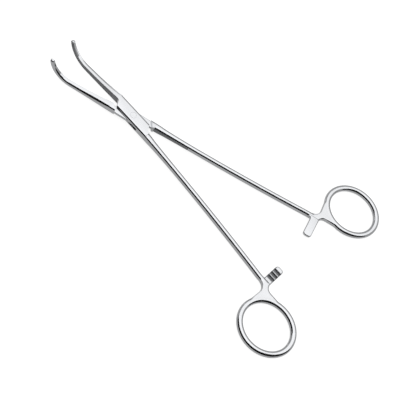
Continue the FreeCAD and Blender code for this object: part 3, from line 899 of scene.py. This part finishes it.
def ratchet_piece(arm, name):
    """Ratchet bar: a thin slab less one slanting notch for each tooth."""
    handle = bpy.context.scene.forceps_handle
    away = -arm["side"]
    middle = shank_centre(np.array([handle.place]))[1][0]
    crest = middle + away * handle.bar_gap / 2
    back = crest + away * handle.bar
    low, high = min(crest, back), max(crest, back)
    item = make_object(name, *slab(ratchet_outline(), low, high, handle.bar_edge), arm["side"])
    last = handle.reach - handle.pad
    notches = []
    for number in range(RATCHET_TEETH):
        steep = last - number * handle.pitch
        ramp = steep - RAMP_SHARE * handle.pitch
        profile = np.array([
            (steep, crest - away * handle.depth),
            (steep, crest + away * handle.depth),
            (ramp, crest),
            (ramp, crest - away * handle.depth),
        ])
        rows = np.array([-handle.place - handle.breadth, -handle.place + handle.breadth])
        grid = np.stack([
            np.broadcast_to(profile[:, 0], (2, 4)),
            np.broadcast_to(rows[:, None], (2, 4)),
            np.broadcast_to(profile[:, 1], (2, 4)),
        ], axis=2)
        notches.append(closed_outwards(make_object("notch", *tube_faces(grid), arm["side"])))
    return combine(item, notches, "DIFFERENCE")


def mark_ramps(item):
    """Give the ground finish to the slanting faces between the teeth."""
    handle = bpy.context.scene.forceps_handle
    middle = shank_centre(np.array([handle.place]))[1][0] + HINGE_HEIGHT
    normals, centres = face_table(item)
    tilt = np.abs(normals[:, 2])
    least, most = RAMP_NORMALS
    inside = np.abs(centres[:, 2] - middle) < handle.depth
    give_ground_and_shade_finish(item, (tilt > least) & (tilt < most) & inside)


# Box lock

def long_bar(name, side):
    """Full-height bar as wide as the box, rounded along its length and longer than the box."""
    box = bpy.context.scene.forceps_box
    half, over = box.wide / 2, box.long
    return flat_plate(
        name, [(half, -over), (half, over), (-half, over), (-half, -over)],
        box.thick, box.edge, side)


def cut_to(item, name, corners, side):
    """Keep only what lies inside a plan outline, with sharp edges."""
    box = bpy.context.scene.forceps_box
    keep = flat_plate(name, corners, 2 * box.thick, CUTTER_EDGE, side)
    return combine(item, [keep], "INTERSECT")


def pin_hole(radius, side):
    """A drill through both plates, longer than they are thick."""
    box = bpy.context.scene.forceps_box
    return turned_pin("hole", radius, -box.thick, box.thick, DRILL_BEVEL, side)


def box_plates(arm):
    """Box lock: its outline less the tongue's slot and the pin's hole."""
    box = bpy.context.scene.forceps_box
    half, end = box.wide / 2, box.long / 2
    root = root_end()
    gap = box.gap
    wide = 2 * half
    side_drop = box.slant * wide / half
    item = cut_to(long_bar("box_lock", arm["side"]), "outline", [
        (gap, end), (-wide, end - side_drop), (-wide, -root), (-gap, -root),
        (-gap, -end), (wide, -end + side_drop), (wide, root), (gap, root),
    ], arm["side"])
    over, window = 2 * box.wide, box.window
    web = window + box.web
    slot = flat_plate("slot", [
        (gap, 2 * end), (-over, 2 * end), (-over, -window), (-half, -window),
        (-gap, -web), (-gap, -2 * end), (over, -2 * end), (over, window),
        (half, window), (gap, web),
    ], box.slot, CUTTER_EDGE, arm["side"])
    return combine(item, [slot, pin_hole(box.pin, arm["side"])], "DIFFERENCE")


def tongue_plate(arm):
    """Tongue: the thin plate that passes through the box, with the pin's hole."""
    box = bpy.context.scene.forceps_box
    half = box.wide / 2 - box.tongue_inset
    gap = 2 * box.gap
    shoulder = box.long / 2 - box.slant
    end = box.long / 2 + box.root / 2
    item = flat_plate("tongue_plate", [
        (gap, end), (half, end), (half, shoulder), (half, -box.tongue_back),
        (-gap, -box.tongue_cut), (-gap, -end), (-half, -end), (-half, -shoulder),
        (-half, box.tongue_back), (gap, box.tongue_cut),
    ], box.slot - 2 * box.gap, box.tongue_edge, arm["side"])
    return combine(item, [pin_hole(box.pin + PIN_CLEARANCE, arm["side"])], "DIFFERENCE")


def root_blocks(arm):
    """Roots of the tongue arm's jaw and shank behind their slanting shoulders."""
    box = bpy.context.scene.forceps_box
    half, gap = box.wide / 2, box.gap
    near = box.long / 2 + box.shoulder_gap
    far = root_end()
    wide = 2 * half
    side_drop = box.slant * wide / half
    items = []
    for name, sign in (("jaw_root", 1), ("shank_root", -1)):
        items.append(cut_to(long_bar(name, arm["side"]), "outline", [
            (sign * gap, sign * near), (sign * gap, sign * far),
            (sign * wide, sign * far), (sign * wide, sign * (near - side_drop)),
        ], arm["side"]))
    return items


# Stage

def seen_directly(tree, mirrored):
    """1 for camera rays and the given share for glossy and transmission rays."""
    path = add_node(tree, "ShaderNodeLightPath")
    other = add_node(
        tree, "ShaderNodeMath", {"operation": "MAXIMUM"},
        {0: path.outputs["Is Glossy Ray"], 1: path.outputs["Is Transmission Ray"]})
    share = add_node(
        tree, "ShaderNodeMath", {"operation": "MULTIPLY", 1: mirrored}, {0: other.outputs[0]})
    either = add_node(
        tree, "ShaderNodeMath", {"operation": "MAXIMUM"},
        {0: path.outputs["Is Camera Ray"], 1: share.outputs[0]})
    return either.outputs[0]


def make_floor(look):
    """A white disc under the lowest point, part of its white its own, so shadows stay."""
    turn = np.linspace(0, 2 * math.pi, FLOOR_STEPS, endpoint=False)
    level = np.full(FLOOR_STEPS, CAD_BOX[0][2] - FLOOR_DROP)
    points = np.stack([FLOOR_RADIUS * np.cos(turn), FLOOR_RADIUS * np.sin(turn), level], axis=1)
    mesh = bpy.data.meshes.new("floor")
    mesh.from_pydata(points.tolist(), [], [list(range(FLOOR_STEPS))])
    floor = add_object("floor", mesh)
    # Matt white paper: even white, with nothing but the instrument's shadow on it.
    material = bpy.data.materials.new("white_paper")
    tree = empty_tree(material)
    paper = add_node(tree, "ShaderNodeBsdfDiffuse", {"Color": (*look.floor_tint, 1)})
    share = add_node(
        tree, "ShaderNodeMath", {"operation": "MULTIPLY", 1: look.floor_white},
        {0: seen_directly(tree, look.floor_mirrored)})
    glow = add_node(tree, "ShaderNodeEmission", None, {"Strength": share.outputs[0]})
    both = add_node(
        tree, "ShaderNodeAddShader", None, {0: paper.outputs[0], 1: glow.outputs[0]})
    add_node(tree, "ShaderNodeOutputMaterial", None, {"Surface": both.outputs[0]})
    mesh.materials.append(material)


def make_world(look):
    """White where it is seen, a share of that where metal mirrors it, and a soft grey as light."""
    world = bpy.data.worlds.new("studio_room")
    bpy.context.scene.world = world
    tree = empty_tree(world)
    strength = add_node(
        tree, "ShaderNodeMapRange", {"To Min": look.sky, "To Max": 1.0},
        {"Value": seen_directly(tree, look.room_mirrored)})
    room = add_node(
        tree, "ShaderNodeBackground", {"Color": (1, 1, 1, 1)},
        {"Strength": strength.outputs["Result"]})
    add_node(tree, "ShaderNodeOutputWorld", None, {"Surface": room.outputs[0]})


def make_softbox(look):
    """A soft lamp overhead for the flat tops, brighter at the camera's side."""
    lamp = bpy.data.lights.new("softbox", "AREA")
    lamp.shape = "RECTANGLE"
    lamp.size, lamp.size_y = SOFTBOX_SIZE
    lamp.energy = look.key
    softbox = add_object("softbox", lamp)
    softbox.location = SOFTBOX_PLACE
    tree = empty_tree(lamp)
    place = add_node(tree, "ShaderNodeNewGeometry")
    axes = add_node(tree, "ShaderNodeSeparateXYZ", None, {"Vector": place.outputs["Position"]})
    middle, half = softbox.location.x, lamp.size / 2
    fall = add_node(
        tree, "ShaderNodeMapRange",
        {"From Min": middle - half, "From Max": middle + half,
         "To Min": look.key_left, "To Max": look.key_right},
        {"Value": axes.outputs["X"]})
    glow = add_node(tree, "ShaderNodeEmission", None, {"Strength": fall.outputs["Result"]})
    add_node(tree, "ShaderNodeOutputLight", None, {"Surface": glow.outputs["Emission"]})


def make_mirror_only_sheet(name, points, faces, material_name, tint, glow):
    """A card or flag that only the steel mirrors and that lights and shades nothing, a painted
    reflection: a colour with a glow of its own.
    """
    mesh = bpy.data.meshes.new(name)
    mesh.from_pydata(points, [], faces)
    item = add_object(name, mesh)
    material = bpy.data.materials.new(material_name)
    tree = empty_tree(material)
    cloth = add_node(tree, "ShaderNodeBsdfPrincipled", {
        "Base Color": (*srgb(tint), 1), "Roughness": 1.0, "Specular IOR Level": 0.0,
        "Emission Color": (1, 1, 1, 1), "Emission Strength": glow})
    add_node(tree, "ShaderNodeOutputMaterial", None, {"Surface": cloth.outputs["BSDF"]})
    mesh.materials.append(material)
    item.visible_camera = False
    item.visible_diffuse = False
    item.visible_transmission = False
    item.visible_shadow = False


def make_painted_reflections(look):
    """Painted reflections: a glowing card beside the jaws and a dark flag bent round the camera's
    side.
    """
    along = CARD_ALONG * look.card_long / 2
    rise = np.array([0, 0, look.card_high])
    start, end = CARD_PLACE - along, CARD_PLACE + along
    # Glowing white card, no lamp and seen only in the steel: steel that faces it shows a painted
    # light reflection.
    make_mirror_only_sheet(
        "bounce_card", [start, end, end + rise, start + rise], [[0, 1, 2, 3]],
        "white_card", "#FFFFFF", look.card)
    turn = np.linspace(look.flag_start, look.flag_end, FLAG_STRIPS + 1)
    flat = look.flag_distance * np.stack([-np.cos(turn), np.sin(turn), 0 * turn], axis=1)
    low, high = flat + [0, 0, look.flag_low], flat + [0, 0, look.flag_high]
    strip = np.arange(FLAG_STRIPS)
    above = strip + FLAG_STRIPS + 1
    faces = np.stack([strip, strip + 1, above + 1, above], axis=1)
    # Black sheet seen only in the steel, with no shadow: polished edges that face it show a painted
    # dark line.
    make_mirror_only_sheet(
        "dark_flag", np.concatenate([low, high]).tolist(), faces.tolist(),
        "black_felt", "#0C0C0C", 0)


def make_camera(look):
    """The photograph's view: steep, from the tongue arm's jaw side, jaws at the upper left."""
    right, up = Vector(CAMERA_RIGHT), Vector(CAMERA_UP)
    lens = bpy.data.cameras.new("camera")
    lens.lens = look.lens
    lens.sensor_width = SENSOR_WIDTH
    lens.shift_x, lens.shift_y = CAMERA_SHIFT
    lens.clip_start, lens.clip_end = CAMERA_REACH
    camera = bpy.data.objects.new("camera", lens)
    place = Matrix((right, up, right.cross(up))).transposed().to_4x4()
    place.translation = CAMERA_PLACE
    camera.matrix_world = place
    bpy.context.scene.collection.objects.link(camera)
    bpy.context.scene.camera = camera


# Operators

class FORCEPS_OT_stage(bpy.types.Operator):
    """Build the white floor, the soft light and the camera"""

    bl_idname = "forceps.stage"
    bl_label = "Stage"

    def execute(self, context):
        look = context.scene.forceps_stage
        make_floor(look)
        make_world(look)
        make_softbox(look)
        make_painted_reflections(look)
        make_camera(look)
        return {"FINISHED"}


class FORCEPS_OT_jaws(bpy.types.Operator):
    """Build both serrated jaws"""

    bl_idname = "forceps.jaws"
    bl_label = "Jaws"

    def execute(self, context):
        box = context.scene.forceps_box
        start = box.long / 2 + box.root / 2
        for name, arm in ARMS.items():
            # The tongue arm's serrations stand half a pitch on, so that the jaws mesh.
            phase = 0 if arm["side"] > 0 else 0.5
            points, faces, ground = jaw_mesh(start, phase)
            item = closed_outwards(make_object(name + "_jaw", points, faces, arm["side"]))
            finish_piece(item, arm["node"], arm["body"], steels())
            # The biting faces get the ground steel, darker partly as painted shade in the
            # serrations.
            give_ground_and_shade_finish(item, ground)
            shade(item, JAW_CREASE)
        return {"FINISHED"}


class FORCEPS_OT_handles(bpy.types.Operator):
    """Build both shanks with their finger rings"""

    bl_idname = "forceps.handles"
    bl_label = "Handles"

    def execute(self, context):
        for name, arm in ARMS.items():
            item = handle_piece(arm, name + "_handle")
            finish_piece(item, arm["node"], arm["body"], steels())
            item.data.shade_smooth()
            mark_shaded_flats(item, arm["side"])
        return {"FINISHED"}


class FORCEPS_OT_ratchets(bpy.types.Operator):
    """Build both ratchet bars"""

    bl_idname = "forceps.ratchets"
    bl_label = "Ratchets"

    def execute(self, context):
        for name, arm in ARMS.items():
            item = ratchet_piece(arm, name + "_ratchet")
            finish_piece(item, arm["node"], arm["body"], steels())
            shade(item)
            mark_ramps(item)
        return {"FINISHED"}


class FORCEPS_OT_box_lock(bpy.types.Operator):
    """Build the box lock, the tongue and the hinge pin"""

    bl_idname = "forceps.box_lock"
    bl_label = "Box lock"

    def execute(self, context):
        box = context.scene.forceps_box
        made = [(box_plates(ARMS["box"]), "box"), (tongue_plate(ARMS["tongue"]), "tongue")]
        made += [(item, "tongue") for item in root_blocks(ARMS["tongue"])]
        for item, name in made:
            arm = ARMS[name]
            finish_piece(item, arm["node"], arm["body"], steels()[:1])
            shade(item)
        half = box.thick / 2
        pin = turned_pin("hinge_pin", box.pin - SINK, -half, half, box.pin_bevel, 1)
        finish_piece(pin, "joint_pin", "box_side", steels()[:1])
        shade(pin)
        return {"FINISHED"}


OPERATORS = (
    FORCEPS_OT_stage,
    FORCEPS_OT_jaws,
    FORCEPS_OT_handles,
    FORCEPS_OT_ratchets,
    FORCEPS_OT_box_lock,
)


class FORCEPS_PT_panel(bpy.types.Panel):
    """Forceps tools in the sidebar"""

    bl_idname = "FORCEPS_PT_panel"
    bl_label = "Forceps"
    bl_space_type = "VIEW_3D"
    bl_region_type = "UI"
    bl_category = "Forceps"

    def draw(self, context):
        for operator in OPERATORS:
            self.layout.operator(operator.bl_idname)
        for name, group in GROUPS.items():
            column = self.layout.column()
            for field in group.__annotations__:
                column.prop(getattr(context.scene, name), field)


def register():
    """Register the groups, operators and panel."""
    for name, group in GROUPS.items():
        bpy.utils.register_class(group)
        setattr(bpy.types.Scene, name, bpy.props.PointerProperty(type=group))
    for operator in OPERATORS:
        bpy.utils.register_class(operator)
    bpy.utils.register_class(FORCEPS_PT_panel)


def unregister():
    """Take the panel, operators and groups away again."""
    bpy.utils.unregister_class(FORCEPS_PT_panel)
    for operator in reversed(OPERATORS):
        bpy.utils.unregister_class(operator)
    for name, group in reversed(list(GROUPS.items())):
        delattr(bpy.types.Scene, name)
        bpy.utils.unregister_class(group)


def main():
    """Build the whole instrument."""
    register()
    bpy.context.scene.view_settings.view_transform = "Standard"
    bpy.ops.forceps.stage()
    bpy.ops.forceps.jaws()
    bpy.ops.forceps.handles()
    bpy.ops.forceps.ratchets()
    bpy.ops.forceps.box_lock()


if __name__ == "__main__":
    main()
